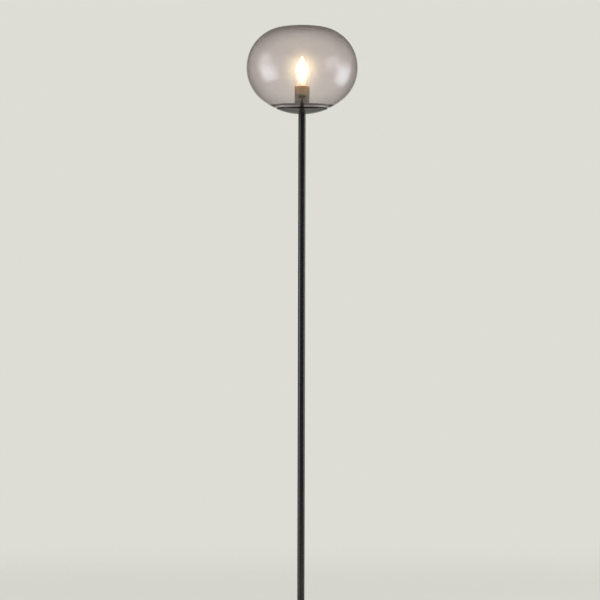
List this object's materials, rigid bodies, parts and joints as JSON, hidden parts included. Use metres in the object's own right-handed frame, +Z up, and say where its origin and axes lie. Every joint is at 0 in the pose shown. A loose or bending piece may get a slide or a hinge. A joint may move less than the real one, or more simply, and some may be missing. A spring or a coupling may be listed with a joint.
{
  "type": "globe floor lamp",
  "caption": "Slim black floor lamp: an oblate smoked glass globe on a shallow dish over a lit bulb, carried by a straight pole on a round weighted base.",
  "frame": {"origin": "centre of the underside of the base, on the floor", "axes": "+Z up the pole to the globe; +Y towards the cable entry at the back; +X to the right of the front"},
  "size_m": [0.275, 0.275, 1.5],
  "materials": {
    "black_paint": "fine satin powder coat",
    "cast_iron": "rough sand cast",
    "pad": "matt foamed rubber",
    "bush": "moulded nylon",
    "zinc_steel": "bright zinc plate",
    "gasket": "soft silicone",
    "smoked_glass": "polished, smoke grey",
    "phenolic": "moulded phenolic",
    "steatite": "unglazed",
    "brass": "bare stamped",
    "bulb_glass": "light frost",
    "bulb_metal": "nickel bright",
    "vitrite": "black glass insulator",
    "filament": "phosphor coat"
  },
  "bodies": {
    "stand": {"base_cover": "black_paint", "base_weight": "cast_iron", "base_pad": "pad", "cable_bush": "bush", "base_nipple": "zinc_steel", "base_washer": "zinc_steel", "base_nut": "zinc_steel", "foot_insert": "zinc_steel", "pole_lower": "black_paint", "pole_middle": "black_paint", "pole_upper": "black_paint", "lower_joint_stud": "zinc_steel", "lower_joint_socket": "zinc_steel", "middle_joint_stud": "zinc_steel", "middle_joint_socket": "zinc_steel", "top_insert": "zinc_steel", "top_nipple": "zinc_steel", "dish_washer": "zinc_steel", "dish_nut": "zinc_steel", "spacer_tube": "zinc_steel", "shade_dish": "black_paint", "glass_carrier": "black_paint", "glass_gasket": "gasket", "holder_cap": "phenolic", "holder_shell": "phenolic", "holder_core": "steatite", "holder_screw_shell": "brass", "holder_tongue": "brass", "holder_terminals": "brass", "terminal_screws": "zinc_steel"},
    "glass": {"glass_shade": "smoked_glass"},
    "bulb": {"bulb_glass": "bulb_glass", "bulb_cap": "bulb_metal", "bulb_insulator": "vitrite", "bulb_contact": "bulb_metal", "bulb_stem": "bulb_glass", "bulb_frame": "zinc_steel", "bulb_filaments": "filament"}
  },
  "joints": [
    {"name": "glass_lift", "type": "slide", "parent": "stand", "child": "glass", "axis": [0, 0, 1], "range_m": [0, 0.16]},
    {"name": "bulb_turn", "type": "hinge", "parent": "stand", "child": "bulb", "pos_m": [0, 0, 1.38], "axis": [0, 0, 1], "range_deg": [0, 1080]}
  ]
}
